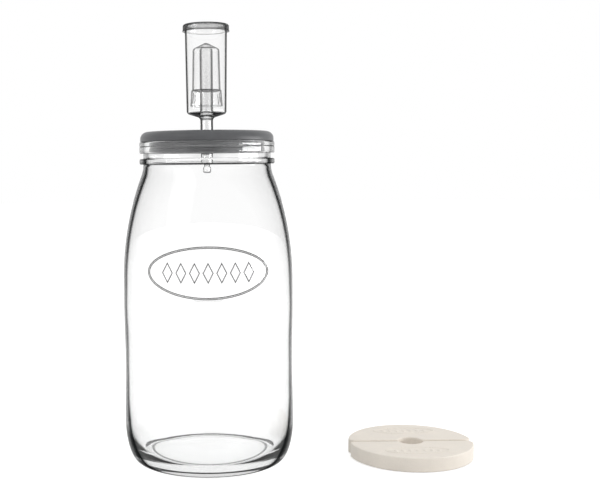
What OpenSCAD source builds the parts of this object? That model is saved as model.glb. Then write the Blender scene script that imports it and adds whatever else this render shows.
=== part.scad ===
/* [Jar body] */
// Height of the glass jar, from the surface it stands on to its rim
jar_h = 270; // [255:1:330]
// Outer diameter of the body at its fullest
body_d = 143.4; // [134:0.2:160]
// Thickness of the glass wall
wall_t = 3; // [2.5:0.25:4]
// Thickness of the glass floor
base_t = 4.5; // [4:0.5:8]
// Outer diameter of the flat ring that the jar stands on
foot_d = 120; // [108:1:124]
// Width of that flat ring
foot_w = 4; // [3:0.5:7]
// Height that the underside rises inside the ring
push_up = 3; // [2:0.5:5]
// Height of the rounded heel outside
heel_h = 34; // [28:1:42]
// Height of the rounded heel inside, where the glass is thicker
inner_heel_h = 33; // [29:1:42]
// Diameter of the level part of the floor inside
floor_d = 104; // [92:1:108]
// Depth that the side draws in between heel and shoulder
waist_in = 0.7; // [0.2:0.1:1.6]
// Height where the side is back at full width
waist_top = 135; // [120:1:144]
// Height where the shoulder starts to close in
shoulder_z = 154; // [146:1:162]

/* [Neck and rim] */
// Inner diameter of the mouth
mouth_d = 98; // [94:0.5:100]
// Outer diameter of the neck between the bands
neck_d = 107.6; // [105:0.1:108.6]
// Outer diameter of the rim and of the collar below it
rim_d = 114; // [111:0.5:118]
// Height of the rim band
rim_h = 9.7; // [8:0.1:12]
// Height of the groove between rim and collar
groove_h = 4.4; // [3:0.1:6]
// Height of the collar band
collar_h = 4.6; // [3.6:0.1:6]
// Edge radius of both bands
band_r = 1.2; // [0.6:0.1:1.6]
// Depth of the fine line round the rim band
rim_line = 0.7; // [0.4:0.1:1]
// Radius of the blend from shoulder to neck
neck_blend = 26; // [20:1:45]

/* [Raised oval on the jar] */
// Width of the oval
oval_w = 96; // [70:1:100]
// Height of the oval
oval_h = 42; // [34:1:46]
// Height of its centre above the surface
oval_z = 166; // [150:1:170]
// Width of the raised lines
oval_line = 1.8; // [1.2:0.1:3]
// Height of the relief
oval_relief = 0.8; // [0.4:0.1:1.2]
// Number of lozenges in the row inside the oval
lozenges = 7; // [3:2:9]

/* [Silicone lid] */
// Diameter of the lid
lid_d = 112.5; // [109:0.5:117]
// Height of the lid above the rim
lid_t = 8.5; // [7.5:0.5:11]
// Radius of the lid's top edge
lid_edge_r = 6; // [3:0.5:6.5]
// Depth that the plug reaches into the mouth
plug_h = 9.8; // [8:0.1:12]
// Radial clearance of the plug's ribs in the mouth
plug_fit = 0.08; // [0.05:0.01:0.1]
// Depth of the grooves beside the plug's ribs
plug_groove = 1.1; // [0.6:0.1:1.6]
// Thickness of the plug's wall
plug_t = 6; // [4:0.5:8]
// Thickness of the lid's top plate
plate_t = 5; // [4:0.5:6]
// Diameter of the boss round the airlock's hole
boss_d = 22; // [18:0.5:26]
// Depth of that boss below the rim
boss_h = 8; // [5:0.5:9.5]

/* [Airlock body] */
// Diameter of the stem where it enters the lid
stem_d = 10.7; // [10:0.1:11]
// Diameter of the stem's lower end, before the nozzle
stem_tip_d = 9.5; // [9:0.1:9.9]
// Radial clearance of the stem in the lid
stem_fit = 0.05; // [0.03:0.01:0.1]
// Length of stem that shows above the lid
stem_show = 11; // [8:0.5:16]
// Length of stem below the plug, without the nozzle
stem_below = 9.3; // [6:0.1:14]
// Wall thickness of the airlock
lock_t = 1.4; // [1.1:0.1:1.6]
// Length of the nozzle at the stem's end
nozzle_l = 7.6; // [6.6:0.1:9]
// Diameter of the nozzle's ball
nozzle_d = 6.6; // [6:0.1:7.4]
// Bore of the nozzle
nozzle_bore_d = 3; // [2:0.1:3.6]
// Outer diameter of the cup at its rim
cup_d = 35.4; // [34.6:0.1:38]
// Outer diameter of the cup at its floor
cup_low_d = 33.6; // [33:0.1:34.4]
// Height of the cup's conical floor
cup_cone_h = 3.4; // [3:0.1:5]
// Height of the cup from that floor to its rim
cup_h = 73.3; // [73:0.1:85]
// Radius of the cup's lower corner
cup_corner_r = 3; // [2:0.1:3.4]
// Outer diameter of the centre tube
tube_d = 11; // [10.6:0.1:11.6]
// Height of the centre tube above the top of the cup's conical floor
tube_h = 55.9; // [52:0.1:56.2]

/* [Airlock float] */
// Gap between the float and what it rests on or runs past
float_gap = 0.3; // [0.2:0.05:0.5]
// Wall thickness of the float
float_t = 1.1; // [0.9:0.1:1.4]
// Outer diameter at the float's shoulder
float_d = 22.6; // [22:0.1:23.2]
// Outer diameter just above its ledge
float_low_d = 23.9; // [23.6:0.1:24.2]
// Outer diameter of its skirt at the ledge
skirt_d = 25.5; // [25.2:0.1:26]
// Outer diameter of its skirt at the lower edge
skirt_low_d = 27.4; // [26.8:0.1:28]
// Height of the skirt
skirt_h = 13.5; // [10:0.1:16]
// Height of the float from lower edge to shoulder
float_h = 45.9; // [43:0.1:48]
// Height of the float's pointed top above its shoulder
point_h = 7.6; // [6.5:0.1:9]
// Number of gas slots in the skirt
slots = 6; // [4:1:8]
// Width of a gas slot
slot_w = 1.6; // [1:0.1:2.4]
// Height of a gas slot
slot_h = 8; // [5:0.1:9]

/* [Airlock cap] */
// Height of the cap's skirt below its plate
cap_skirt_h = 4.2; // [3.6:0.1:6]
// Thickness of the cap's plate
cap_plate_t = 1.8; // [1.4:0.1:2.4]
// Thickness of the cap's skirt
cap_t = 1.6; // [1.2:0.1:2]
// Radial clearance between the cap and the cup
cap_fit = 0.1; // [0.05:0.01:0.2]
// Width of the small lip at the skirt's lower edge
cap_lip = 0.3; // [0.2:0.1:1]
// Number of vent holes
vents = 8; // [4:1:12]
// Diameter of a vent hole
vent_d = 1.2; // [0.8:0.1:1.6]
// Diameter of the circle that the vents lie on
vent_circle_d = 22; // [16:0.5:28]

/* [Ceramic weights] */
// Outer diameter of the pair of weights
weight_d = 106; // [96:1:120]
// Thickness of a weight
weight_t = 12; // [10:0.5:16]
// Gap between the two halves
weight_gap = 4; // [3:0.5:8]
// Diameter of the hole in the middle of the pair
weight_hole_d = 21; // [18:0.5:26]
// Radius of the outer corners in plan
weight_corner_r = 5; // [3:0.5:8]
// Radius of the rounded upper and lower edges
weight_edge_r = 2.2; // [1:0.1:3]
// Distance from the jar's axis to the middle of the pair
weight_x = 173; // [155:1:200]
// Width of the raised oval on a weight
weight_oval_w = 54; // [40:1:60]
// Height of that oval
weight_oval_h = 19; // [14:0.5:21]
// Height of its relief
weight_relief = 0.5; // [0.3:0.1:0.8]

/* [Hidden] */
$fn = 96;

over = 1;
body_r = body_d / 2;
foot_r = foot_d / 2;
floor_r = floor_d / 2;
mouth_r = mouth_d / 2;
neck_r = neck_d / 2;
rim_r = rim_d / 2;
lid_r = lid_d / 2;

rim_z = jar_h - rim_h;
collar_top = rim_z - groove_h;
collar_z = collar_top - collar_h;
floor_z = push_up + base_t;
floor_edge_z = push_up / 2 + base_t - 1;
mouth_edge_r = 1.5;
rim_line_z = jar_h - 0.42 * rim_h;

lid_top = jar_h + lid_t;
plug_z = jar_h - plug_h;
plug_r = mouth_r - plug_fit;
plate_z = lid_top - plate_t;
boss_z = jar_h - boss_h;
lid_lower_r = 0.8;

stem_end = plug_z - stem_below;
stem_top = lid_top + stem_show;
cup_floor = stem_top + cup_cone_h;
cup_top = cup_floor + cup_h;
cup_r = cup_d / 2;
cup_low_r = cup_low_d / 2;
tube_r = tube_d / 2;
bore_r = tube_r - lock_t;
tip_bore_r = stem_tip_d / 2 - lock_t;
tube_top = cup_floor + tube_h;
nozzle_r = nozzle_d / 2;
nozzle_neck_r = nozzle_r - 0.9;
nozzle_z = stem_end - nozzle_l;
nozzle_round = 1.7;
nozzle_ball_h = 5.2;

float_top_in = tube_top + float_gap;
dome_slope = 0.52;
point_in = float_top_in + tube_r * dome_slope;
point_z = point_in + float_t * 1.15;
float_shoulder = point_z - point_h;
float_z = float_shoulder - float_h;
ledge_z = float_z + skirt_h;
shoulder_round = 3;

cap_r = cup_r + cap_fit + cap_t;

weight_r = weight_d / 2;
weight_oval_y = (weight_r + weight_hole_d / 2) / 2 - 1;

// Points of a round or oval arc about c, from angle a to angle b
function arc(c, rx, ry, a, b, n) =
    [for (i = [0 : n]) let (t = a + (b - a) * i / n) [c[0] + rx * cos(t), c[1] + ry * sin(t)]];

// Two tangent arcs that lead from a wide upright wall to a narrow one above it
function shoulder(r0, z0, r1, z1, blend) =
    let (d = r0 - r1)
    let (s = ((z1 - z0) * (z1 - z0) + d * d) / (2 * d))
    let (turn = asin((z1 - z0) / s))
    concat(arc([r0 - s + blend, z0], s - blend, s - blend, 0, turn, 14),
           [for (p = arc([r1 + blend, z1], blend, blend, 180 + turn, 180, 6)) p]);

// Side of the jar between heel and shoulder, drawn in a little in the middle
function waist(r, z0, z1) =
    [for (i = [1 : 15]) let (t = i / 16) [r - waist_in * (1 - cos(360 * t)) / 2, z0 + (z1 - z0) * t]];

// Band with rounded edges, bottom to top
function band(r, z0, z1, low, high) =
    concat(arc([r - low, z0 + low], low, low, -90, 0, 5),
           arc([r - high, z1 - high], high, high, 0, 90, 5));

function jar_outside(out) = concat(
    arc([foot_r, heel_h], body_r - foot_r + out, heel_h, -90, 0, 16),
    waist(body_r + out, heel_h, waist_top),
    [[body_r + out, waist_top]],
    shoulder(body_r + out, shoulder_z, neck_r, collar_z, neck_blend));

function jar_inside() = concat(
    [[0, floor_z]],
    [for (i = [1 : 5]) let (t = i / 5) [floor_r * t, floor_z - (floor_z - floor_edge_z) * t * t]],
    arc([floor_r, inner_heel_h], body_r - wall_t - floor_r, inner_heel_h - floor_edge_z, -84, 0, 16),
    waist(body_r - wall_t, inner_heel_h, waist_top),
    [[body_r - wall_t, waist_top]],
    shoulder(body_r - wall_t, shoulder_z, mouth_r, collar_z, neck_blend + wall_t),
    arc([mouth_r + mouth_edge_r, jar_h - mouth_edge_r], mouth_edge_r, mouth_edge_r, 180, 90, 5));

function underside() = [for (i = [0 : 6]) let (t = i / 6) [(foot_r - foot_w) * t, push_up * (1 - t * t)]];

module glass_section() {
    polygon(concat(
        underside(),
        jar_outside(0),
        band(rim_r, collar_z, collar_top, band_r, band_r),
        [[neck_r, collar_top], [neck_r, rim_z]],
        band(rim_r, rim_z, rim_line_z, band_r, rim_line),
        band(rim_r, rim_line_z, jar_h, rim_line, band_r),
        [for (i = [len(jar_inside()) - 1 : -1 : 0]) jar_inside()[i]]));
}

module ellipse(w, h) {
    polygon([for (a = [0 : 5 : 355]) [w / 2 * cos(a), h / 2 * sin(a)]]);
}

module lozenge(w, h) {
    polygon([[w / 2, 0], [0, h / 2], [-w / 2, 0], [0, -h / 2]]);
}

// Oval line with a row of lozenge outlines inside it
module oval_mark(w, h, line) {
    pitch = 0.78 * w / lozenges;
    loz_h = 0.4 * h;
    difference() {
        ellipse(w, h);
        ellipse(w - 2 * line, h - 2 * line);
    }
    for (i = [0 : lozenges - 1]) translate([(i - (lozenges - 1) / 2) * pitch, 0])
        lozenge(0.8 * pitch, loz_h);
}

// Section of all that lies inside the side of the jar, with the side moved out or in
function side_core(out) = concat([[0, heel_h]],
    [for (p = jar_outside(out)) if (p[1] > heel_h + over) p], [[0, collar_z]]);

// Relief that follows the curve of the side, rooted halfway into the wall
module jar_mark() {
    intersection() {
        rotate_extrude() polygon(side_core(oval_relief));
        difference() {
            translate([0, 0, oval_z]) rotate([90, 0, 0]) linear_extrude(body_r + 2 * over)
                oval_mark(oval_w, oval_h, oval_line);
            rotate_extrude() polygon(side_core(-wall_t / 2));
        }
    }
}

module glass_jar() {
    color([0.93, 0.96, 0.96, 0.35]) union() {
        rotate_extrude() glass_section();
        jar_mark();
    }
}

// Outer side of the plug: two soft ribs with a groove above, between and below
function plug_side() =
    let (rib_h = (plug_h - 2) / 2)
    concat([[plug_r - plug_groove, plug_z]],
           arc([plug_r - 1, plug_z + 1.4], 1, 1, -60, 0, 3),
           [[plug_r, plug_z + rib_h - 0.4], [plug_r - plug_groove, plug_z + rib_h + 0.4],
            [plug_r - plug_groove, plug_z + rib_h + 1.2], [plug_r, plug_z + rib_h + 2]],
           [[plug_r, jar_h - 1.6], [plug_r - plug_groove, jar_h - 0.6]]);

// Radius of the tapered stem at a height
function stem_r(z) = (stem_tip_d + (stem_d - stem_tip_d) * (z - stem_end) / (lid_top - stem_end)) / 2;

module silicone_lid() {
    color([0.36, 0.36, 0.37]) rotate_extrude() polygon(concat(
        [[stem_r(boss_z) + stem_fit, boss_z], [boss_d / 2 - 1, boss_z]],
        arc([boss_d / 2 - 1, boss_z + 1], 1, 1, -90, 0, 3),
        [[boss_d / 2, plate_z - 1], [boss_d / 2 + 1, plate_z]],
        [[plug_r - plug_t - 1, plate_z], [plug_r - plug_t, plate_z - 1]],
        [[plug_r - plug_t, plug_z]],
        plug_side(),
        [[plug_r - plug_groove, jar_h]],
        arc([lid_r - lid_lower_r, jar_h + lid_lower_r], lid_lower_r, lid_lower_r, -90, 0, 4),
        arc([lid_r - lid_edge_r, lid_top - lid_edge_r], lid_edge_r, lid_edge_r, 0, 90, 10),
        [[stem_r(lid_top) + stem_fit, lid_top]]));
}

// Outer side of stem and cup, from the nozzle's tip to the cup's rim
function lock_outside() = concat(
    [[nozzle_bore_d / 2, nozzle_z]],
    arc([nozzle_r - nozzle_round, nozzle_z + nozzle_round], nozzle_round, nozzle_round, -80, 0, 5),
    arc([nozzle_r - nozzle_round, nozzle_z + nozzle_ball_h - nozzle_round],
        nozzle_round, nozzle_round, 0, 65, 4),
    [[nozzle_neck_r, nozzle_z + nozzle_ball_h + 0.4], [nozzle_neck_r, stem_end - 1.2]],
    [[stem_tip_d / 2 - 0.3, stem_end]],
    [[stem_r(stem_end + 0.8), stem_end + 0.8], [stem_r(lid_top), lid_top]],
    arc([stem_d / 2 + 3, stem_top - 1.6], 3, 3, 180, 115, 5),
    arc([cup_low_r - cup_corner_r, cup_floor + cup_corner_r], cup_corner_r, cup_corner_r, -75, 0, 6),
    [[cup_r, cup_top]]);

// Inner side of the cup, the centre tube and its bore, from rim to nozzle
function lock_inside() = concat(
    [[cup_r - lock_t, cup_top]],
    arc([cup_low_r - cup_corner_r, cup_floor + cup_corner_r],
        cup_corner_r - lock_t, cup_corner_r - lock_t, 0, -75, 4),
    [[tube_r + 1, cup_floor + 0.4], [tube_r, cup_floor + 1.4]],
    [[tube_r, tube_top - 0.3], [tube_r - 0.3, tube_top], [bore_r, tube_top]],
    [[tip_bore_r, stem_end + 1], [nozzle_bore_d / 2, stem_end - 1]]);

module airlock_body() {
    color([0.9, 0.91, 0.92, 0.35]) rotate_extrude()
        polygon(concat(lock_outside(), lock_inside()));
}

// Dome of the float, from its shoulder to its point
function dome(r, z_side, z_tip, round) = concat(
    arc([r - round, z_side], round, round, 0, 62, 6),
    [[1.6, z_tip - 1.6 * dome_slope], [0, z_tip - 0.4]]);

module float_section() {
    inner = concat(
        [[skirt_low_d / 2 - float_t, float_z], [skirt_d / 2 - float_t, ledge_z - float_t]],
        [[float_low_d / 2 - float_t, ledge_z - float_t + 0.6]],
        dome(float_d / 2 - float_t, float_shoulder, point_in, shoulder_round - float_t));
    polygon(concat(
        [[skirt_low_d / 2, float_z], [skirt_d / 2, ledge_z - 0.5], [skirt_d / 2 - 0.5, ledge_z]],
        [[float_low_d / 2, ledge_z + 0.3]],
        dome(float_d / 2, float_shoulder, point_z, shoulder_round),
        [for (i = [len(inner) - 1 : -1 : 0]) inner[i]]));
}

module airlock_float() {
    slot_z = float_z + (skirt_h - slot_h) / 2;
    color([0.88, 0.89, 0.9, 0.35]) difference() {
        rotate_extrude() float_section();
        for (i = [0 : slots - 1]) rotate([0, 0, 360 / slots * (i + 0.5)])
            translate([float_d / 2 - 2 * float_t, -slot_w / 2, slot_z])
                cube([skirt_low_d / 2, slot_w, slot_h]);
    }
}

module airlock_cap() {
    cap_top = cup_top + cap_plate_t;
    color([0.8, 0.82, 0.83, 0.35]) difference() {
        rotate_extrude() polygon(concat(
            [[cup_r + cap_fit, cup_top - cap_skirt_h], [cap_r + cap_lip, cup_top - cap_skirt_h]],
            [[cap_r + cap_lip, cup_top - cap_skirt_h + 0.8], [cap_r, cup_top - cap_skirt_h + 1.3]],
            arc([cap_r - cap_plate_t, cup_top], cap_plate_t, cap_plate_t, 0, 90, 8),
            [[0, cap_top], [0, cup_top], [cup_r + cap_fit, cup_top]]));
        for (i = [0 : vents - 1]) rotate([0, 0, 360 / vents * i])
            translate([vent_circle_d / 2, 0, cup_top - over])
                cylinder(h = cap_plate_t + 2 * over, d = vent_d);
    }
}

// What is cut off one end of a half disc to round its corner in plan
module corner_waste() {
    straight = weight_gap / 2;
    cy = straight + weight_corner_r;
    cx = sqrt(pow(weight_r - weight_corner_r, 2) - cy * cy);
    reach = (weight_r + over) / (weight_r - weight_corner_r);
    difference() {
        polygon([[cx, straight - over], [weight_r + 2 * over, straight - over],
                 [weight_r + 2 * over, cy * reach], [cx * reach, cy * reach], [cx, cy]]);
        translate([cx, cy]) circle(r = weight_corner_r);
    }
}

// Half disc in plan, with its straight side towards the middle
module weight_plan() {
    difference() {
        translate([-weight_r - over, weight_gap / 2]) square([weight_d + 2 * over, weight_r + over]);
        corner_waste();
        mirror([1, 0]) corner_waste();
    }
}

// Section of the disc, with rounded edges outside and at the hole
module weight_section() {
    e = weight_edge_r;
    hole_r = weight_hole_d / 2;
    polygon(concat(
        arc([weight_r - e, e], e, e, -90, 0, 6),
        arc([weight_r - e, weight_t - e], e, e, 0, 90, 6),
        arc([hole_r + e / 2, weight_t - e / 2], e / 2, e / 2, 90, 180, 4),
        arc([hole_r + e / 2, e / 2], e / 2, e / 2, 180, 270, 4)));
}

module weight_half() {
    union() {
        intersection() {
            rotate_extrude() weight_section();
            translate([0, 0, -over]) linear_extrude(weight_t + 2 * over) weight_plan();
        }
        translate([0, weight_oval_y, weight_t - over]) linear_extrude(weight_relief + over)
            oval_mark(weight_oval_w, weight_oval_h, oval_line / 2);
    }
}

module weight_rear() {
    color([0.89, 0.86, 0.82]) translate([weight_x, 0, 0]) weight_half();
}

module weight_front() {
    color([0.89, 0.86, 0.82]) translate([weight_x, 0, 0]) rotate([0, 0, 180]) weight_half();
}

glass_jar();
silicone_lid();
airlock_body();
airlock_float();
airlock_cap();
weight_rear();
weight_front();
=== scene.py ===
"""Fermentation jar with airlock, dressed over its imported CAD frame.

Laid out as a Blender add-on: sizes and colours are properties, each piece has an operator that
builds it, and main() runs them in order. Lengths in the outlines are millimetres, as in the part's
source, and every finished mesh is in metres in the frame's own place.
"""

import math
from functools import partial
from types import SimpleNamespace

import bmesh
import bpy
import numpy as np
from mathutils import Matrix


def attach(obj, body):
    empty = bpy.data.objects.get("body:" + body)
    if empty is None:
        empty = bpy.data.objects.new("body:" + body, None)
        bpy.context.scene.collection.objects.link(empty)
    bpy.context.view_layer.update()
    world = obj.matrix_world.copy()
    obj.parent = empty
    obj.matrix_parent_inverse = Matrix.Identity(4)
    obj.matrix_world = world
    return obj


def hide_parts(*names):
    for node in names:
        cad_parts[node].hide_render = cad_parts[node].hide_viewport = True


bl_info = {
    "name": "Fermentation jar with airlock",
    "version": (1, 0, 0),
    "blender": (4, 5, 0),
    "location": "3D View > Sidebar > Jar",
    "description": "Builds a glass jar with its silicone lid, airlock and ceramic weights",
    "category": "Add Mesh",
}

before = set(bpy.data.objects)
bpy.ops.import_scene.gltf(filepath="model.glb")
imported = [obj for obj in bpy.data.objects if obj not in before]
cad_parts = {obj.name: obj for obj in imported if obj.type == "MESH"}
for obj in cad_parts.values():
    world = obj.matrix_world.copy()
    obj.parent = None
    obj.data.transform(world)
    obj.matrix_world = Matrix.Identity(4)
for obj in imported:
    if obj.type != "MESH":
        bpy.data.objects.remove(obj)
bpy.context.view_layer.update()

MM = 0.001
FINE = 3  # the scene's arcs have this many times the points of the part's source
ROW = 0.78  # share of an oval's width that its row of lozenges takes
LOZENGE_W, LOZENGE_H = 0.4, 0.2  # half a lozenge's width in its pitch, half its height in the oval
# The dark band at the outline is painted shade: it stands in for the dark that a clear wall
# refracts where it is seen edge on
FADE_WALLS = 5  # the dark band at the outline fades out within this many walls


# Outlines, in millimetres

def arc(cx, cy, r, start, end, steps, tall=None):
    """Points of a round arc about (cx, cy), or an oval one that tall; angles in degrees."""
    turn = np.radians(np.linspace(start, end, steps * FINE + 1))
    return [(cx + r * math.cos(t), cy + (tall or r) * math.sin(t)) for t in turn]


def shoulder(r0, z0, r1, z1, blend):
    """Two tangent arcs that lead from a wide upright wall to a narrow one above it."""
    drop = r0 - r1
    big = ((z1 - z0) ** 2 + drop ** 2) / (2 * drop)
    turn = math.degrees(math.asin((z1 - z0) / big))
    return (arc(r0 - big + blend, z0, big - blend, 0, turn, 10)
            + arc(r1 + blend, z1, blend, 180 + turn, 180, 5))


def waist(r, z0, z1, depth, steps=30):
    """Side of the jar between heel and shoulder, drawn in a little in the middle."""
    share = np.arange(1, steps) / steps
    return [(r - depth * (1 - math.cos(2 * math.pi * t)) / 2, z0 + (z1 - z0) * t) for t in share]


def band(r, z0, z1, low, high):
    """Band with rounded edges, bottom to top."""
    return arc(r - low, z0 + low, low, -90, 0, 2) + arc(r - high, z1 - high, high, 0, 90, 2)


def soften(points, radius, steps=4, closed=True, slight=22, long=2.5, close=0.5):
    """Rounds the sharp corners of an outline and sets a point close beside each rounding. A long
    run keeps its own slope up to that close to a slight bend, of less than that many degrees."""
    pts = [np.array(p, float) for p in points]
    pts = [p for i, p in enumerate(pts) if i == 0 or np.linalg.norm(p - pts[i - 1]) > 1e-6]
    out = []
    last = len(pts)
    for i, here in enumerate(pts):
        if not closed and i in (0, last - 1):
            out.append(here)
            continue
        back, ahead = pts[i - 1] - here, pts[(i + 1) % last] - here
        runs = np.linalg.norm(back), np.linalg.norm(ahead)
        room = min(runs)
        back, ahead = back / runs[0], ahead / runs[1]
        bend = math.pi - math.acos(max(-1, min(1, float(back @ ahead))))
        if bend < math.radians(slight) or room < 0.02:
            out += [here + back * close] if runs[0] > long else []
            out.append(here)
            out += [here + ahead * close] if runs[1] > long else []
            continue
        reach = min(radius * math.tan(bend / 2), 0.42 * room)
        beside = min(reach * 1.15 + 0.02, 0.48 * room)
        out.append(here + back * beside)
        for k in range(steps + 1):
            t = k / steps
            out.append(here + back * reach * (1 - t) ** 2 + ahead * reach * t ** 2)
        out.append(here + ahead * beside)
    return [tuple(p) for p in out]


def spaced(points, step):
    """The same line with points no closer than step allows: step is a function of height."""
    pts = np.array(points, float)
    run = np.concatenate([[0], np.cumsum(np.linalg.norm(np.diff(pts, axis=0), axis=1))])
    at, places = 0.0, [0.0]
    while True:
        height = np.interp(at, run, pts[:, 1])
        at += step(height)
        if at > run[-1] - 0.3 * step(height):
            break
        places.append(at)
    places.append(run[-1])
    return [(np.interp(s, run, pts[:, 0]), np.interp(s, run, pts[:, 1])) for s in places]


# Small helpers

def linear(code, alpha=1.0):
    """An sRGB hex colour as the linear colour that shaders take."""
    parts = [int(code[i:i + 2], 16) / 255 for i in (1, 3, 5)]
    return (*[p / 12.92 if p <= 0.04045 else ((p + 0.055) / 1.055) ** 2.4 for p in parts], alpha)


def node(tree, kind, links=(), get=0, stops=None, **settings):
    """Adds one node and hands back one of its outputs, or all of them if get is None. kind is
    the node's type, for a shader node without its prefix, with :OPERATION behind it for sums.
    links fills the inputs, in order or by name, with values or other sockets, and stops fills a
    colour ramp."""
    kind, _, operation = kind.partition(":")
    made = tree.nodes.new(kind if "Node" in kind else "ShaderNode" + kind)
    if operation:
        made.operation = operation
    for key, value in settings.items():
        setattr(made, key, value)
    for key, value in links.items() if isinstance(links, dict) else enumerate(links):
        if isinstance(value, bpy.types.NodeSocket):
            tree.links.new(value, made.inputs[key])
        else:
            made.inputs[key].default_value = value
    if stops:
        elements = made.color_ramp.elements
        while len(elements) < len(stops):
            elements.new(1)
        for element, (place, colour) in zip(elements, stops):
            element.position = place
            element.color = colour
    return made.outputs if get is None else made.outputs[get]


def greys(pairs, low, high):
    """Stops of a grey ramp from pairs of place and brightness, the places from low to high."""
    return [((at - low) / (high - low), (much, much, much, 1)) for at, much in pairs]


def fresh_material(name):
    """An empty node material of that name, and what adds a node to it."""
    material = bpy.data.materials.new(name)
    material.use_nodes = True
    material.node_tree.nodes.clear()
    return material, partial(node, material.node_tree)


def in_mm(settings):
    """A property group's lengths as plain numbers in millimetres."""
    values = {}
    for key in settings.__annotations__:
        value = getattr(settings, key)
        values[key] = value * 1000 if isinstance(value, float) else value
    return SimpleNamespace(**values)


def length(name, description, mm):
    """A length property, in metres, with its default given in millimetres."""
    return bpy.props.FloatProperty(name=name, description=description, default=mm * MM, min=0,
                                   precision=4, unit="LENGTH", subtype="DISTANCE")


def count(name, description, default):
    """A property that counts pieces."""
    return bpy.props.IntProperty(name=name, description=description, default=default, min=1)


def tint(name, description, code):
    """A colour property, with its default given as an sRGB hex value."""
    return bpy.props.FloatVectorProperty(name=name, description=description, size=4, min=0, max=1,
                                         subtype="COLOR", default=linear(code))


# Sizes and colours

class JarGlassSettings(bpy.types.PropertyGroup):
    """The glass jar."""
    height: length("Height", "From the surface to the rim", 270)
    body_d: length("Body diameter", "Outside, at its fullest", 143.4)
    wall: length("Wall", "Thickness of the side", 3)
    base: length("Floor thickness", "Glass under the contents", 4.5)
    foot_d: length("Foot ring", "Outer diameter of the ring it stands on", 120)
    foot_w: length("Foot ring width", "Width of the flat ring", 4)
    push_up: length("Push-up", "How far the underside rises inside the ring", 3)
    heel_h: length("Heel", "Height of the rounded heel outside", 34)
    inner_heel_h: length("Inner heel", "Height of the rounded heel inside", 33)
    floor_d: length("Floor", "Diameter of the level floor inside", 104)
    waist_in: length("Waist", "How far the side draws in", 0.7)
    waist_top: length("Waist top", "Height where the side is full again", 135)
    shoulder_z: length("Shoulder", "Height where the shoulder starts", 154)
    mouth_d: length("Mouth", "Inner diameter of the mouth", 98)
    neck_d: length("Neck", "Outer diameter between the bands", 107.6)
    rim_d: length("Rim", "Outer diameter of rim and collar", 114)
    rim_h: length("Rim height", "Height of the rim band", 9.7)
    groove_h: length("Groove", "Height of the groove between the bands", 4.4)
    collar_h: length("Collar", "Height of the collar band", 4.6)
    band_r: length("Band edge", "Edge radius of the bands", 1.2)
    rim_line: length("Rim line", "Depth of the fine line round the rim", 0.7)
    neck_blend: length("Neck blend", "Radius between shoulder and neck", 26)
    oval_w: length("Oval width", "Raised oval on the front", 96)
    oval_h: length("Oval height", "Raised oval on the front", 42)
    oval_z: length("Oval centre", "Height of the oval's centre", 166)
    oval_line: length("Oval line", "Width of the raised line", 1.8)
    relief: length("Relief", "How far the oval stands out", 0.72)
    lozenges: count("Lozenges", "Number in the row inside the oval", 7)
    # side is the colour of the painted dark band along the glass's outline: painted shade for the
    # dark the glass refracts where it is seen edge on
    side: tint("Side", "What the glass shows where it is seen edge on", "#141617")


class JarLidSettings(bpy.types.PropertyGroup):
    """The silicone lid."""
    lid_d: length("Diameter", "Diameter of the lid", 112.5)
    lid_t: length("Height", "Height above the rim", 8.5)
    edge_r: length("Top edge", "Radius of the top edge", 6)
    plug_h: length("Plug", "Depth that the plug reaches into the mouth", 9.8)
    plug_fit: length("Plug clearance", "Clearance of the ribs in the mouth", 0.08)
    plug_groove: length("Plug grooves", "Depth of the grooves beside the ribs", 1.1)
    plug_t: length("Plug wall", "Thickness of the plug's wall", 6)
    plate_t: length("Plate", "Thickness of the top plate", 5)
    boss_d: length("Boss", "Diameter of the boss round the hole", 22)
    boss_h: length("Boss depth", "How far the boss hangs below the rim", 8)
    colour: tint("Silicone", "Colour of the silicone", "#565759")


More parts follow.
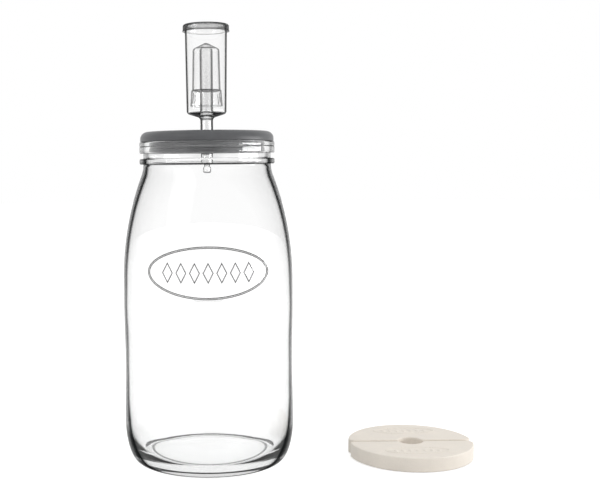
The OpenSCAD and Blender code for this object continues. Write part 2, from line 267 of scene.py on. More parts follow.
class JarAirlockSettings(bpy.types.PropertyGroup):
    """The airlock's body, float and cap."""
    stem_d: length("Stem", "Diameter where it enters the lid", 10.7)
    stem_tip_d: length("Stem end", "Diameter of the lower end", 9.5)
    stem_fit: length("Stem clearance", "Clearance of the stem in the lid", 0.05)
    stem_show: length("Stem above", "Length above the lid", 11)
    stem_below: length("Stem below", "Length below the plug", 9.3)
    wall: length("Wall", "Thickness of cup and stem", 1.4)
    nozzle_l: length("Nozzle", "Length of the nozzle", 7.6)
    nozzle_d: length("Nozzle ball", "Diameter of the nozzle's ball", 6.6)
    nozzle_bore_d: length("Nozzle bore", "Bore of the nozzle", 3)
    cup_d: length("Cup rim", "Outer diameter at the rim", 35.4)
    cup_low_d: length("Cup floor", "Outer diameter at the floor", 33.6)
    cup_cone_h: length("Cup cone", "Height of the conical floor", 3.4)
    cup_h: length("Cup height", "Height from floor to rim", 73.3)
    cup_corner_r: length("Cup corner", "Radius of the lower corner", 3)
    tube_d: length("Tube", "Outer diameter of the centre tube", 11)
    tube_h: length("Tube height", "Height above the conical floor", 55.9)
    float_gap: length("Float gap", "Gap between float and tube", 0.3)
    float_t: length("Float wall", "Thickness of the float", 1.1)
    float_d: length("Float shoulder", "Diameter at the shoulder", 22.6)
    float_low_d: length("Float side", "Diameter above the ledge", 23.9)
    skirt_d: length("Skirt top", "Diameter of the skirt at its ledge", 25.5)
    skirt_low_d: length("Skirt edge", "Diameter at the lower edge", 27.4)
    skirt_h: length("Skirt height", "Height of the skirt", 13.5)
    float_h: length("Float height", "From lower edge to shoulder", 45.9)
    point_h: length("Float point", "Height of the top above the shoulder", 7.6)
    slots: count("Slots", "Gas slots in the skirt", 6)
    slot_w: length("Slot width", "Width of a gas slot", 1.6)
    slot_h: length("Slot height", "Height of a gas slot", 8)
    cap_skirt_h: length("Cap skirt", "Height of the skirt below the plate", 4.2)
    cap_plate_t: length("Cap plate", "Thickness of the plate", 1.8)
    cap_t: length("Cap wall", "Thickness of the skirt", 1.6)
    cap_fit: length("Cap clearance", "Clearance between cap and cup", 0.1)
    cap_lip: length("Cap lip", "Width of the small lip", 0.3)
    vents: count("Vents", "Number of vent holes", 8)
    vent_d: length("Vent", "Diameter of a vent hole", 1.2)
    vent_circle_d: length("Vent circle", "Circle that the vents lie on", 22)
    # side is the colour of the painted dark band along the plastic's outline: painted shade for
    # the dark the plastic refracts where it is seen edge on
    side: tint("Side", "What the plastic shows where it is seen edge on", "#1A1C1D")


class JarWeightSettings(bpy.types.PropertyGroup):
    """The pair of ceramic weights."""
    weight_d: length("Diameter", "Outer diameter of the pair", 106)
    weight_t: length("Thickness", "Thickness of a weight", 12)
    gap: length("Gap", "Gap between the halves", 4)
    hole_d: length("Hole", "Hole in the middle of the pair", 21)
    corner_r: length("Corners", "Radius of the outer corners in plan", 5)
    edge_r: length("Edges", "Radius of the upper and lower edges", 1.5)
    place_x: length("Place", "Distance from the jar's axis", 173)
    oval_w: length("Oval width", "Raised oval on a weight", 54)
    oval_h: length("Oval height", "Raised oval on a weight", 19)
    oval_line: length("Oval line", "Width of the raised line", 1.3)
    relief: length("Relief", "How far the oval stands out", 0.5)
    lozenges: count("Lozenges", "Number in the row inside the oval", 7)
    colour: tint("Glaze", "Colour of the glazed ceramic", "#EAE2D7")


class JarStageSettings(bpy.types.PropertyGroup):
    """Camera, light and floor."""
    distance: length("Camera distance", "From the jar's axis", 847.5)
    eye: length("Camera height", "Above the surface", 250.4)
    tilt: bpy.props.FloatProperty(name="Tilt", description="How far the camera looks down",
                                  default=math.radians(3.8), subtype="ANGLE", unit="ROTATION")
    roll: bpy.props.FloatProperty(name="Roll", description="How far the jar leans in the frame",
                                  default=math.radians(-0.54), subtype="ANGLE", unit="ROTATION")
    lens: bpy.props.FloatProperty(name="Lens", description="Focal length in millimetres",
                                  default=59.94, min=10, unit="CAMERA")
    floor: tint("Floor", "Colour of the surface", "#D8D8D8")


# Materials

def painted_outline_shade(add, place, height, walls, fade):
    """Painted shade along a clear wall's outline, where it is seen edge on: 1 is all side, 0 is
    all clear. Within its own thickness of the outline a real wall turns all that is behind it away
    and shows the dark beside it; here that dark is painted in, by Layer Weight's facing. walls
    gives that thickness and how dark it is at most, by height, and fade how dark it is by the
    inset, in walls."""
    flat = add("VectorMath:MULTIPLY", (place, (1, 1, 0)))
    radius = add("VectorMath:LENGTH", (flat,), "Value")
    away = add("VectorMath:NORMALIZE", (flat,))
    skin = add("NewGeometry", get=None)
    outward = add("VectorMath:DOT_PRODUCT", (skin["Normal"], away), "Value")
    # Seen from inside the wall a face is turned round, and is none of the outer skin
    outward = add("Math:MULTIPLY_ADD", (skin["Backfacing"], -2.0, outward))
    outer = add("MapRange", (outward, 0.05, 0.3))
    # On a round wall the inset from the outline is the radius times half the squared cosine
    cosine = add("Math:SUBTRACT", (1.0, add("LayerWeight", (0.5,), "Facing")))
    inset = add("Math:MULTIPLY", (radius, add("Math:POWER", (cosine, 2.0))))
    top = walls[-1][0]
    share = add("Math:DIVIDE", (height, top * MM))
    wall = add("ValToRGB", (share,),
               stops=[(z / top, (thick / 10, much, 0, 1)) for z, thick, much in walls])
    reach, most = add("SeparateColor", (wall,), None)[:2]
    # Twice over for the half in the inset, and ten times since the ramp holds tenths; it is
    # less where the skin leans
    upright = add("Math:MAXIMUM", (outward, 0.05))
    for factor in (2 * FADE_WALLS * 10 * MM, upright, upright):
        reach = add("Math:MULTIPLY", (reach, factor))
    depth = add("Math:DIVIDE", (inset, reach))
    # How strong the painted shade is, by the inset from the outline
    dark = add("ValToRGB", (depth,), stops=greys(fade, 0, FADE_WALLS))
    for factor in (most, outer):
        dark = add("Math:MULTIPLY", (dark, factor))
    return dark, outer, radius


def painted_relief_shade(add, place, jar, soft=0.75, half=0.7):
    """Painted shade along the steep sides of the raised oval and its lozenges, as fine lines from
    0 to 1.
    """
    per_oval = (2 / (jar.oval_w * MM), 0, 2 / (jar.oval_h * MM))
    pitch = ROW * jar.oval_w / jar.lozenges
    even = 0 if jar.lozenges % 2 else pitch / 2

    def line_at(distance, middle, spread):
        """A line on both sides of the middle, at that spread, in millimetres."""
        for width in (middle, spread):
            distance = add("Math:SUBTRACT", (distance, width * MM))
            distance = add("Math:ABSOLUTE", (distance,))
        return add("MapRange", (distance, 0.0, half * MM, 1.0, 0.0),
                   interpolation_type="SMOOTHSTEP")

    centred, local = [add("VectorMath:SUBTRACT", (place, (x * MM, 0, jar.oval_z * MM)))
                      for x in (0, even)]
    once = add("VectorMath:MULTIPLY", (centred, per_oval))
    value = add("VectorMath:LENGTH", (once,), "Value")
    twice = add("VectorMath:MULTIPLY", (once, per_oval))
    slope = add("VectorMath:LENGTH", (twice,), "Value")
    short = add("Math:MULTIPLY", (add("Math:SUBTRACT", (1.0, value)), value))
    inside = add("Math:DIVIDE", (short, slope))
    ring = line_at(inside, jar.oval_line / 2, (jar.oval_line - soft) / 2)

    across = add("SeparateXYZ", (local,), None)
    x = add("Math:WRAP", (across["X"], pitch / 2 * MM, -pitch / 2 * MM))
    x = add("Math:ABSOLUTE", (x,))
    z = add("Math:ABSOLUTE", (across["Z"],))
    per_x, per_z = 1 / (LOZENGE_W * pitch * MM), 1 / (LOZENGE_H * jar.oval_h * MM)
    away = add("Math:MULTIPLY_ADD", (z, per_z, add("Math:MULTIPLY", (x, per_x))))
    away = add("Math:SUBTRACT", (1.0, away))
    away = add("Math:DIVIDE", (away, math.hypot(per_x, per_z)))
    facets = line_at(away, soft / 2, 0.0)
    row = add("Math:ABSOLUTE", (add("SeparateXYZ", (centred,), "X"),))
    row = add("Math:LESS_THAN", (row, pitch * jar.lozenges / 2 * MM))
    facets = add("Math:MULTIPLY", (facets, row))
    front = add("Math:LESS_THAN", (across["Y"], 0.0))
    return add("Math:MULTIPLY", (add("Math:MAXIMUM", (ring, facets)), front))


def see_through(name, clear, side, walls, fade, rings, ior, ripple, thick, shade, jar=None):
    """A clear moulded solid that goes over to the colour of its side along its outline, as painted
    shade. rings gives how dark its painted bands of shade are all round, by height, ripple the
    width and depth of the waves in its skin, thick the colour and density of its depth, shade its
    shadow."""
    material, add = fresh_material(name)
    place = add("TexCoord", get="Object")
    height = add("SeparateXYZ", (place,), "Z")
    painted_edge_shade, outer, radius = painted_outline_shade(add, place, height, walls, fade)
    # Painted shade: dark rings by height, and on the jar dark lines at its relief and its foot
    low, high = rings[0][0], rings[-1][0]
    share = add("MapRange", (height, low * MM, high * MM))
    darker = [add("ValToRGB", (share,), stops=greys(rings, low, high))]
    if jar:
        # Painted shade along the steep sides of the raised oval and its lozenges
        darker.append(add("Math:MULTIPLY", (painted_relief_shade(add, place, jar), outer)))
        # Painted shade: a dark line at the foot, where the underside starts to rise inside the
        # ring
        foot = add("Math:SUBTRACT", (radius, (jar.foot_d / 2 - jar.foot_w - 6) * MM))
        foot = add("Math:ABSOLUTE", (foot,))
        foot = add("MapRange", (foot, 0.7 * MM, 1.9 * MM, 0.7, 0.0))
        under = add("Math:LESS_THAN", (height, 1.2 * MM))
        darker.append(add("Math:MULTIPLY", (foot, under)))
    for part in darker:
        painted_edge_shade = add("Math:MAXIMUM", (painted_edge_shade, part))
    waves = add("TexNoise", {"Vector": place, "Scale": 1 / (ripple[0] * MM), "Detail": 1.5,
                             "Roughness": 0.4})
    bump = add("Bump", {"Height": waves, "Strength": 1.0, "Distance": ripple[1] * MM})
    glass = add("BsdfPrincipled", {"Base Color": clear, "Roughness": 0.0, "IOR": ior,
                                   "Transmission Weight": 1.0, "Normal": bump})
    # Painted shade: the glass goes over to a dark diffuse of the side colour where the band and
    # lines are
    body = add("MixShader", (painted_edge_shade, glass, add("BsdfDiffuse", (side,))))
    shadow = add("LightPath", get="Is Shadow Ray")
    whole = add("MixShader", (shadow, body, add("BsdfTransparent", (shade,))))
    add("OutputMaterial", {"Surface": whole, "Volume": add("VolumeAbsorption", thick)}, None)
    return material


def moulded_glass(jar, side):
    """Soda-lime glass, blown in a mould: fire-polished, with a slow ripple in the wall that bends
    what is seen through it a little, and a trace of grey where it is thick."""
    # walls and fade set the painted dark band along the outline; collar paints dark lines at the
    # lower and upper edge of the collar band, both painted shade
    walls = [(0, 7.5, 1), (12, 7, 1), (26, 6, 1), (40, 4.6, 0.98), (56, 3.4, 0.88),
             (85, 2.8, 0.82), (110, 3.1, 0.84), (135, 2.7, 0.84), (160, 3.4, 0.88),
             (190, 3.8, 0.96), (215, 4.4, 1), (240, 5.5, 1), (249, 4.6, 1), (251, 7, 1),
             (256, 7, 1), (257, 5, 0.6), (270, 5, 0.6)]
    fade = [(0, 0.5), (0.25, 0.66), (0.5, 0.94), (0.72, 1.0), (0.9, 0.58), (1.1, 0.3),
            (1.5, 0.2), (2.3, 0.14), (3.4, 0.08), (5, 0.03)]
    collar = [(250.6, 0), (251, 0.75), (251.6, 0.75), (251.9, 0), (255.5, 0), (255.8, 0.35),
              (256.0, 0.35), (256.3, 0)]
    return see_through("soda_lime_glass_moulded", linear("#FFFFFF"), side, walls, fade, collar,
                       1.52, (34, 0.03), (linear("#F0F0F0"), 10.0), linear("#F1F3F2"), jar)


def clear_plastic(name, side, walls, fade, rings):
    """Styrene copolymer, injection moulded: clear with a trace of grey, and sharp at its edges."""
    return see_through(name, linear("#FEFEFE"), side, walls, fade, rings, 1.57, (9, 0.004),
                       (linear("#F2F2F2"), 25.0), linear("#E6E6E6"))


def cup_plastic(side):
    """The cup and its tube: water clear, with a painted dark line of shade along the outline, as
    thick as the wall.
    """
    return clear_plastic("clear_styrene_moulded", side,
                         [(0, 0.5, 1), (262, 0.5, 1), (278, 1.3, 1), (400, 1.3, 1)],
                         [(0, 0.74), (0.3, 0.92), (0.9, 0.94), (1.15, 0.4), (1.5, 0.12),
                          (3, 0.05), (5, 0.01)], [(0, 0), (1, 0)])


def float_plastic(side):
    """The float: the same plastic in a thinner wall, with painted shade at its lower edge and its
    ledge.
    """
    return clear_plastic("clear_styrene_moulded_thin", side, [(0, 1.2, 1), (400, 1.2, 1)],
                         [(0, 0.6), (0.3, 0.78), (0.9, 0.8), (1.15, 0.34), (1.5, 0.1),
                          (3, 0.04), (5, 0.01)],
                         [(299, 0.28), (300.1, 0.28), (300.4, 0), (312.4, 0), (312.7, 0.6),
                          (313.3, 0.6), (313.6, 0)])


def cap_plastic(side):
    """The cap: the same plastic, with painted grey shade along its lip and its top edge."""
    return clear_plastic("clear_styrene_moulded_cap", side,
                         [(0, 3, 1), (361.9, 7, 1), (363.1, 7, 1), (364, 3, 1),
                          (366.6, 3, 1), (367.4, 7, 1), (400, 7, 1)],
                         [(0, 0.88), (1, 0.82), (1.6, 0.48), (2.4, 0.32), (3.3, 0.2), (5, 0.18)],
                         [(361, 0.55), (362.35, 0.55), (362.6, 0), (367.2, 0), (367.6, 0.6),
                          (368, 0.6)])


def mottled(name, colour, clouds, grain, tones, dull, relief, ior, specks=None):
    """A dull moulded skin. clouds and grain are a soft and a fine pattern, each given by its size
    in millimetres, detail and roughness. Over the clouds the colour goes from one of the tones
    to the other, and the skin from one share of dullness to the other. relief is the strength
    and depth of the grain's bumps, specks the tint that the grain gives."""
    material, add = fresh_material(name)
    place = add("TexCoord", get="Object")
    clouds, grain = [add("TexNoise", {"Vector": place, "Scale": 1 / (size * MM),
                                      "Detail": detail, "Roughness": rough})
                     for size, detail, rough in (clouds, grain)]
    low, high = [(*[min(1, tone * part) for part in colour[:3]], 1) for tone in tones]
    shade = add("ValToRGB", (clouds,), stops=[(0.3, low), (0.7, high)])
    if specks:
        speck = add("ValToRGB", (grain,), stops=specks)
        shade = add("Mix", {0: 1.0, 6: shade, 7: speck}, 2, data_type="RGBA",
                    blend_type="MULTIPLY")
    bump = add("Bump", {"Height": grain, "Strength": relief[0], "Distance": relief[1] * MM})
    skin = add("BsdfPrincipled", {"Base Color": shade, "IOR": ior, "Normal": bump,
                                  "Roughness": add("MapRange", (clouds, 0.3, 0.7, *dull))})
    add("OutputMaterial", {"Surface": skin}, None)
    return material


def grey_silicone(colour):
    """Silicone rubber, compression moulded: satin, with a fine even tooth and a broad soft sheen.
    Handling leaves cloudy areas 12 mm across; the mould's tooth of 0.05 mm is drawn at 0.5 mm so
    that it shows at all."""
    return mottled("silicone_moulded_satin", colour, (12, 3.0, 0.55), (0.5, 2.0, 0.5),
                   (0.9, 1.1), (0.33, 0.42), (0.35, 0.05), 1.42)


def glazed_ceramic(colour):
    """Stoneware, slip cast, with a matt off-white glaze: faint mottling, pinholes and slow waves.
    Glaze gathers in clouds of 15 mm; the grain of the body under it is 0.3 mm, drawn at 0.8 mm so
    that it shows."""
    return mottled("stoneware_matt_glaze", colour, (15, 4.0, 0.6), (0.8, 3.0, 0.6),
                   (0.955, 1.03), (0.42, 0.55), (0.25, 0.06), 1.5,
                   [(0.28, (0.93, 0.92, 0.90, 1)), (0.42, (1, 1, 1, 1))])


# Geometry Nodes

def new_tree(name, inputs):
    """An empty Geometry Nodes tree with named inputs, what adds a node to it, and its inputs."""
    tree = bpy.data.node_groups.new(name, "GeometryNodeTree")
    tree.interface.new_socket("Geometry", in_out="INPUT", socket_type="NodeSocketGeometry")
    for label, kind, value in (*inputs, ("Material", "Material", None)):
        socket = tree.interface.new_socket(label, in_out="INPUT", socket_type="NodeSocket" + kind)
        if value is not None:
            socket.default_value = value
    tree.interface.new_socket("Geometry", in_out="OUTPUT", socket_type="NodeSocketGeometry")
    add = partial(node, tree)
    return tree, add, add("NodeGroupInput", get=None)


def end_tree(tree, add, shape, given):
    """Ends a tree with the shape in the piece's material."""
    shape = add("GeometryNodeSetMaterial", {"Geometry": shape, "Material": given["Material"]})
    add("NodeGroupOutput", (shape,), None)
    return tree


def on_circle(add, radius, angle, height):
    """The point at that radius and angle round the axis, at that height."""
    x, y = [add("Math:MULTIPLY", (radius, add("Math:" + turn, (angle,))))
            for turn in ("COSINE", "SINE")]
    return add("CombineXYZ", (x, y, height))


def turning_tree():
    """Turns an outline, given as a line of points (radius, 0, height), round the upright axis.
    Part of the segments can be gathered at the front, where the relief needs them."""
    tree, add, given = new_tree("turned_on_its_axis", [
        ("Segments", "Int", 96), ("Front share", "Float", 0.5), ("Front angle", "Float", 90.0)])
    rows = add("GeometryNodeAttributeDomainSize", (given["Geometry"],), "Point Count")
    columns = add("Math:ADD", (given["Segments"], 1))
    grid = add("GeometryNodeMeshGrid", {"Size X": 1.0, "Size Y": 1.0, "Vertices X": rows,
                                        "Vertices Y": columns}, "Mesh")
    place = add("GeometryNodeInputPosition")
    across = add("SeparateXYZ", (place,), None)
    share = add("Math:ADD", (across["X"], 0.5))
    row = add("Math:MULTIPLY", (share, add("Math:SUBTRACT", (rows, 1))))
    index = add("FunctionNodeFloatToInt", (row,), rounding_mode="ROUND")
    sampled = add("GeometryNodeSampleIndex", {"Geometry": given["Geometry"], "Value": place,
                                              "Index": index},
                  data_type="FLOAT_VECTOR", domain="POINT")
    outline = add("SeparateXYZ", (sampled,), None)
    side = add("Math:ABSOLUTE", (across["Y"],))
    half = add("Math:MULTIPLY", (given["Front share"], 0.5))
    rest = add("Math:SUBTRACT", (180.0, given["Front angle"]))
    front = add("MapRange", (side, 0.0, half, 0.0, given["Front angle"]))
    back = add("MapRange", (side, half, 0.5, 0.0, rest))
    angle = add("Math:ADD", (front, back))
    angle = add("Math:MULTIPLY", (angle, add("Math:SIGN", (across["Y"],))))
    angle = add("Math:RADIANS", (add("Math:SUBTRACT", (angle, 90.0)),))
    spot = on_circle(add, outline["X"], angle, outline["Z"])
    shape = add("GeometryNodeSetPosition", {"Geometry": grid, "Position": spot})
    shape = add("GeometryNodeMergeByDistance", {"Geometry": shape, "Distance": 0.002 * MM})
    shape = add("GeometryNodeRealizeInstances", (shape,))
    return end_tree(tree, add, shape, given)


def piercing_tree():
    """Cuts a ring of equal holes or slots through a piece."""
    tree, add, given = new_tree("pierced_ring", [
        ("Count", "Int", 6), ("Ring radius", "Float", 0.01), ("Height", "Float", 0.0),
        ("First angle", "Float", 0.0), ("Size", "Vector", (0.001, 0.001, 0.001)),
        ("Round", "Bool", False)])
    step = add("Math:DIVIDE", (math.tau, given["Count"]))
    angle = add("Math:MULTIPLY_ADD", (add("GeometryNodeInputIndex"), step, given["First angle"]))
    spot = on_circle(add, given["Ring radius"], angle, given["Height"])
    points = add("GeometryNodePoints", {"Count": given["Count"], "Position": spot})
    block = add("GeometryNodeMeshCube", {"Size": (1.0, 1.0, 1.0)}, "Mesh")
    rod = add("GeometryNodeMeshCylinder", {"Vertices": 32, "Radius": 0.5, "Depth": 1.0}, "Mesh")
    cutter = add("GeometryNodeSwitch", {"Switch": given["Round"], "False": block, "True": rod},
                 input_type="GEOMETRY")
    ring = add("GeometryNodeInstanceOnPoints", {
        "Points": points, "Instance": cutter, "Scale": given["Size"],
        "Rotation": add("CombineXYZ", {"Z": angle})})
    ring = add("GeometryNodeRealizeInstances", (ring,))
    shape = add("GeometryNodeMeshBoolean", {"Mesh 1": given["Geometry"], "Mesh 2": ring}, "Mesh",
                operation="DIFFERENCE")
    return end_tree(tree, add, shape, given)


def work(obj, tree, values):
    """Adds the tree as a modifier, with its inputs set by their identifiers."""
    modifier = obj.modifiers.new(tree.name, "NODES")
    modifier.node_group = tree
    for item in tree.interface.items_tree:
        if item.item_type == "SOCKET" and item.in_out == "INPUT" and item.name in values:
            modifier[item.identifier] = values[item.name]


def settled(obj):
    """Turns an object with modifiers into a plain one at the origin, with its mesh tidied."""
    bpy.context.view_layer.update()
    graph = bpy.context.evaluated_depsgraph_get()
    mesh = bpy.data.meshes.new_from_object(obj.evaluated_get(graph))
    name = obj.name
    obj.modifiers.clear()
    old = obj.data
    obj.data = mesh
    bpy.data.meshes.remove(old)
    mesh.name = name
    if not mesh.polygons:
        raise RuntimeError(name + " came out empty")
    return obj


def tidy(mesh, sharp):
    """Merges doubles, turns faces outwards and shades smooth except at real corners."""
    b = bmesh.new()
    b.from_mesh(mesh)
    bmesh.ops.remove_doubles(b, verts=b.verts, dist=1e-6)
    bmesh.ops.dissolve_degenerate(b, edges=b.edges, dist=1e-7)
    bmesh.ops.recalc_face_normals(b, faces=b.faces)
    if b.calc_volume(signed=True) < 0:
        bmesh.ops.reverse_faces(b, faces=b.faces)
    b.to_mesh(mesh)
    b.free()
    mesh.shade_smooth()
    mesh.set_sharp_from_angle(angle=math.radians(sharp))


def points_of(mesh):
    """Where the mesh's points are, in millimetres."""
    places = np.zeros(len(mesh.vertices) * 3)
    mesh.vertices.foreach_get("co", places)
    return places.reshape(-1, 3) / MM


def move_points(mesh, places):
    """Sets the mesh's points to places given in millimetres."""
    mesh.vertices.foreach_set("co", (places * MM).ravel())
    mesh.update()


def piece(name, b=None):
    """A new object of that name at the origin, with the shape in b if there is one."""
    obj = bpy.data.objects.new(name, bpy.data.meshes.new(name))
    if b:
        b.to_mesh(obj.data)
        b.free()
    bpy.context.scene.collection.objects.link(obj)
    return obj


def turned(name, outline, material, segments, front_share=0.5, front_angle=90.0):
    """A round piece: its outline, in millimetres, turned on the axis by the turning tree."""
    obj = piece(name)
    points = [(r * MM, 0, z * MM) for r, z in outline]
    obj.data.from_pydata(points, [(i, i + 1) for i in range(len(points) - 1)], [])
    tree = bpy.data.node_groups.get("turned_on_its_axis") or turning_tree()
    work(obj, tree, {"Segments": segments, "Front share": front_share,
                     "Front angle": front_angle, "Material": material})
    return obj


def pierced(obj, material, number, radius, height, size, first=0.0, round_hole=False):
    """A ring of holes through a turned piece, sizes in millimetres."""
    tree = bpy.data.node_groups.get("pierced_ring") or piercing_tree()
    work(obj, tree, {"Count": number, "Ring radius": radius * MM, "Height": height * MM,
                     "First angle": first, "Size": [s * MM for s in size], "Round": round_hole,
                     "Material": material})


def seat(obj, node_name, body, sharp=38):
    """Hands a finished piece to the frame, in its CAD node's place and on its body, and tidies
    it first with that angle for a sharp corner, if there is one."""
    if sharp:
        tidy(obj.data, sharp)
    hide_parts(node_name)
    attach(obj, body)
    return {"FINISHED"}


# Shared heights and marks

def heights(scene):
    """The heights that several pieces share, in millimetres."""
    jar, lid, lock = in_mm(scene.jar_glass), in_mm(scene.jar_lid), in_mm(scene.jar_airlock)
    h = SimpleNamespace(jar=jar, lid=lid, lock=lock)
    h.rim_z = jar.height - jar.rim_h
    h.collar_top = h.rim_z - jar.groove_h
    h.collar_z = h.collar_top - jar.collar_h
    h.rim_line_z = jar.height - 0.42 * jar.rim_h
    h.lid_top = jar.height + lid.lid_t
    h.plug_z = jar.height - lid.plug_h
    h.stem_end = h.plug_z - lock.stem_below
    h.stem_top = h.lid_top + lock.stem_show
    h.cup_floor = h.stem_top + lock.cup_cone_h
    h.cup_top = h.cup_floor + lock.cup_h
    h.tube_top = h.cup_floor + lock.tube_h
    h.stem_r = lambda z: (lock.stem_tip_d + (lock.stem_d - lock.stem_tip_d) * (z - h.stem_end)
                          / (h.lid_top - h.stem_end)) / 2
    return h


def oval_mark(x, y, given, soft):
    """How far a mark stands out at (x, y), from 0 to 1: an oval line round a row of lozenges, of
    the given sizes. soft is the width over which an edge rises."""
    w, h, line, number = given.oval_w, given.oval_h, given.oval_line, given.lozenges

    def inside(value, slope):
        """Rises from 0 to 1 across the edge where value is 1, with a rounded foot and top."""
        away = (1 - value) / np.maximum(slope, 1e-6)
        t = np.clip(away / soft, 0, 1)
        return t * t * (3 - 2 * t)

    def oval(a, b):
        value = np.sqrt((x / a) ** 2 + (y / b) ** 2)
        slope = np.sqrt((x / a ** 2) ** 2 + (y / b ** 2) ** 2) / np.maximum(value, 1e-6)
        return value, slope

    outer = inside(*oval(w / 2, h / 2))
    value, slope = oval(w / 2 - line + soft, h / 2 - line + soft)
    ring = np.minimum(outer, 1 - inside(value, slope))
    pitch = ROW * w / number
    wide, high = LOZENGE_W * pitch, LOZENGE_H * h
    best = np.zeros_like(x)
    for i in range(number):
        away = np.abs(x - (i - (number - 1) / 2) * pitch) / wide + np.abs(y) / high
        facet = inside(away, np.full_like(x, math.hypot(1 / wide, 1 / high)))
        # Each lozenge is a low pyramid with a flat rim, so that it catches the light
        best = np.maximum(best, facet * (0.62 + 0.38 * np.clip(1 - away, 0, 1)))
    return np.maximum(ring, best)


# Operators

class JAR_OT_glass(bpy.types.Operator):
    """Build the glass jar with its bands, heel and raised oval"""
    bl_idname = "jar.glass"
    bl_label = "Glass jar"

    def outline(self, h):
        jar = h.jar
        body_r, foot_r, floor_r = jar.body_d / 2, jar.foot_d / 2, jar.floor_d / 2
        neck_r, mouth_r, rim_r = jar.neck_d / 2, jar.mouth_d / 2, jar.rim_d / 2
        floor_z = jar.push_up + jar.base
        floor_edge = jar.push_up / 2 + jar.base - 1
        inner_r = body_r - jar.wall
        lip = 1.5
        low, high = jar.oval_z - jar.oval_h / 2 - 1.5, jar.oval_z + jar.oval_h / 2 + 1.5
        under = [((foot_r - jar.foot_w) * t, jar.push_up * (1 - t * t))
                 for t in (0, 0.2, 0.4, 0.6, 0.8, 0.95, 1)]
        heel = arc(foot_r, jar.heel_h, body_r - foot_r, -90, 0, 8, tall=jar.heel_h)
        side = [*waist(body_r, jar.heel_h, jar.waist_top, jar.waist_in), (body_r, jar.waist_top),
                *shoulder(body_r, jar.shoulder_z, neck_r, h.collar_z, jar.neck_blend)]
        # Closer rows of points behind the relief
        side = spaced(side, lambda z: 0.6 if low < z < high else 4)
        bands = [(neck_r, h.collar_z),
                 *band(rim_r, h.collar_z, h.collar_top, jar.band_r, jar.band_r),
                 (neck_r, h.collar_top), (neck_r, h.rim_z),
                 *band(rim_r, h.rim_z, h.rim_line_z, jar.band_r, jar.rim_line),
                 *band(rim_r, h.rim_line_z, jar.height, jar.rim_line, jar.band_r)]
        inner = [(inner_r, jar.waist_top), *shoulder(inner_r, jar.shoulder_z, mouth_r, h.collar_z,
                                                     jar.neck_blend + jar.wall)]
        inside = [(0, floor_z),
                  *[(floor_r * t, floor_z - (floor_z - floor_edge) * t * t)
                    for t in (0.25, 0.5, 0.75, 0.9)],
                  *arc(floor_r, jar.inner_heel_h, inner_r - floor_r, -96, 0, 8,
                       tall=jar.inner_heel_h - floor_edge),
                  *waist(inner_r, jar.inner_heel_h, jar.waist_top, jar.waist_in, 20),
                  *spaced(inner, lambda z: 4.6),
                  *arc(mouth_r + lip, jar.height - lip, lip, 180, 90, 2)]
        return under + heel + side[1:] + soften(bands, 0.5, 3, closed=False) + inside[::-1]

    def execute(self, context):
        h = heights(context.scene)
        jar = h.jar
        material = moulded_glass(jar, tuple(context.scene.jar_glass.side))
        obj = settled(turned("glass_jar_blown", self.outline(h), material, 346, front_share=0.5,
                             front_angle=44.0))
        tidy(obj.data, 50)
        co = points_of(obj.data)
        radius = np.hypot(co[:, 0], co[:, 1])
        low, high = jar.oval_z - jar.oval_h / 2 - 1, jar.oval_z + jar.oval_h / 2 + 1
        outer = (co[:, 1] < 0) & (radius > jar.neck_d / 2) & (co[:, 2] > low) & (co[:, 2] < high)
        # The inner wall lies a wall's thickness in, so it is told apart by its radius, which
        # the shoulder has made smaller by the top of the oval
        shoulder_drop = np.interp(co[:, 2], [jar.shoulder_z, high], [0, 3.2])
        outer &= radius > jar.body_d / 2 - jar.wall / 2 - shoulder_drop
        mark = oval_mark(co[:, 0], co[:, 2] - jar.oval_z, jar, soft=0.75)
        push = np.where(outer, mark * jar.relief, 0) / np.maximum(radius, 1e-6)
        co[:, :2] *= 1 + push[:, None]
        move_points(obj.data, co)
        return seat(obj, "glass_jar", "jar", None)


class JAR_OT_lid(bpy.types.Operator):
    """Build the silicone lid with its ribbed plug"""
    bl_idname = "jar.lid"
    bl_label = "Silicone lid"

    def execute(self, context):
        h = heights(context.scene)
        jar, lid = h.jar, h.lid
        plug_r = jar.mouth_d / 2 - lid.plug_fit
        plate_z = h.lid_top - lid.plate_t
        boss_z, boss_r = jar.height - lid.boss_h, lid.boss_d / 2
        rib_h = (lid.plug_h - 2) / 2
        lid_r, low_r = lid.lid_d / 2, 0.8
        groove_r = plug_r - lid.plug_groove
        seat_z = jar.height + 0.05
        hole = h.lock.stem_fit
        rib_z, inner_r = h.plug_z + rib_h, plug_r - lid.plug_t
        outline = soften([
            (h.stem_r(boss_z) + hole, boss_z), (boss_r - 1, boss_z),
            *arc(boss_r - 1, boss_z + 1, 1, -90, 0, 2),
            (boss_r, plate_z - 1), (boss_r + 1, plate_z), (inner_r - 1, plate_z),
            (inner_r, plate_z - 1), (inner_r, h.plug_z), (groove_r, h.plug_z),
            *arc(plug_r - 1, h.plug_z + 1.4, 1, -60, 0, 1),
            (plug_r, rib_z - 0.4), (groove_r, rib_z + 0.4), (groove_r, rib_z + 1.2),
            (plug_r, rib_z + 2), (plug_r, jar.height - 1.6), (groove_r, jar.height - 0.6),
            (groove_r, seat_z),
            *arc(lid_r - low_r, seat_z + low_r, low_r, -90, 0, 2),
            *arc(lid_r - lid.edge_r, h.lid_top - lid.edge_r, lid.edge_r, 0, 90, 5),
            (h.stem_r(h.lid_top) + hole, h.lid_top)], 0.4)
        material = grey_silicone(tuple(context.scene.jar_lid.colour))
        obj = settled(turned("silicone_lid_moulded", outline + outline[:1], material, 256))
        return seat(obj, "silicone_lid", "lid")


